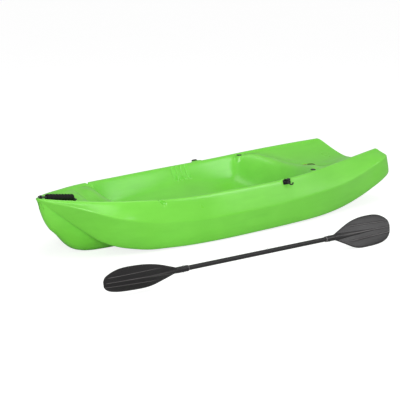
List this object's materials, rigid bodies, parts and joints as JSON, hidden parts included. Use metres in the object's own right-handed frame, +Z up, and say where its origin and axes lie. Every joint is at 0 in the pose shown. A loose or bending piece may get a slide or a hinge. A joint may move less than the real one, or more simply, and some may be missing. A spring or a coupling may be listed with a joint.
{
  "type": "youth kayak",
  "caption": "Moulded sit-on kayak for a child with scooped stern deck and bow carry handle, and its two-piece feathered paddle lying alongside.",
  "frame": {"origin": "mid-length of the hull on its centreline, at the floor that the keel stands on", "axes": "+X towards the bow, +Y to port, +Z up"},
  "size_m": [1.9999, 1.0633, 0.2569],
  "materials": {
    "hull_plastic": "blow-moulded polyethylene, lime green, soft sheen",
    "fitting_plastic": "moulded nylon, black, satin",
    "grip_rubber": "soft grip rubber, black, matt",
    "cord": "braided polyester cord, black",
    "bezel_plastic": "moulded plastic, ochre, satin",
    "drain_plastic": "moulded plastic, dark olive, satin",
    "seal_rubber": "soft black rubber",
    "steel": "stainless steel",
    "spring_steel": "spring steel",
    "black_steel": "stainless steel, blackened",
    "shaft_aluminium": "drawn tube, black anodised, satin",
    "blade_plastic": "injection-moulded polypropylene, black"
  },
  "bodies": {
    "hull": {"hull": "hull_plastic", "drain_bezel": "bezel_plastic", "bezel_screws": "black_steel", "ledge_plugs": "fitting_plastic", "keeper_eye_port": "fitting_plastic", "keeper_eye_starboard": "fitting_plastic", "keeper_screws": "black_steel", "handle_eye_front": "fitting_plastic", "handle_eye_rear": "fitting_plastic"},
    "drain_seal": {"drain_seal": "seal_rubber"},
    "drain_plug": {"drain_plug": "drain_plastic"},
    "handle": {"handle_cord": "cord", "handle_grip": "grip_rubber"},
    "hook_port": {"keeper_hook_port": "fitting_plastic"},
    "hook_starboard": {"keeper_hook_starboard": "fitting_plastic"},
    "paddle_bow_half": {"shaft_bow": "shaft_aluminium", "ferrule": "shaft_aluminium", "button_spring": "spring_steel", "blade_bow": "blade_plastic", "blade_rivet_bow": "steel"},
    "paddle_stern_half": {"shaft_stern": "shaft_aluminium", "blade_stern": "blade_plastic", "blade_rivet_stern": "steel"},
    "snap_button": {"snap_button": "steel"}
  },
  "joints": [
    {"name": "drain_lift", "type": "slide", "parent": "hull", "child": "drain_seal", "axis": [0, 0, 1], "range_m": [0, 0.0125]},
    {"name": "drain_turn", "type": "hinge", "parent": "drain_seal", "child": "drain_plug", "pos_m": [-0.633, 0, 0.16], "axis": [0, 0, 1], "range_deg": [0, 1080]},
    {"name": "handle_swing", "type": "hinge", "parent": "hull", "child": "handle", "pos_m": [0.897, 0, 0.246], "axis": [0.9785, 0, 0.206], "range_deg": [0, 95]},
    {"name": "hook_port_swing", "type": "hinge", "parent": "hull", "child": "hook_port", "pos_m": [-0.172, 0.29044, 0.20445], "axis": [1, 0, 0], "range_deg": [0, 100]},
    {"name": "hook_starboard_swing", "type": "hinge", "parent": "hull", "child": "hook_starboard", "pos_m": [-0.172, -0.29044, 0.20445], "axis": [-1, 0, 0], "range_deg": [0, 100]},
    {"name": "paddle_lift", "type": "slide", "parent": "hull", "child": "paddle_bow_half", "axis": [0, 0, 1], "range_m": [0, 0.4]},
    {"name": "feather_turn", "type": "hinge", "parent": "paddle_bow_half", "child": "paddle_stern_half", "pos_m": [0.38, 0.669, 0.058], "axis": [0.9962, -0.0872, 0], "range_deg": [-120, 0], "deforming": ["snap_button"]},
    {"name": "button_press", "type": "slide", "parent": "paddle_bow_half", "child": "snap_button", "axis": [0, 0, -1], "range_m": [0, 0.0045], "stiffness_N_per_m": 400, "deforming": ["button_spring"]}
  ],
  "couplings": [
    {"joint": "drain_lift", "follows": "drain_turn", "m_per_rad": 0.00063662}
  ]
}
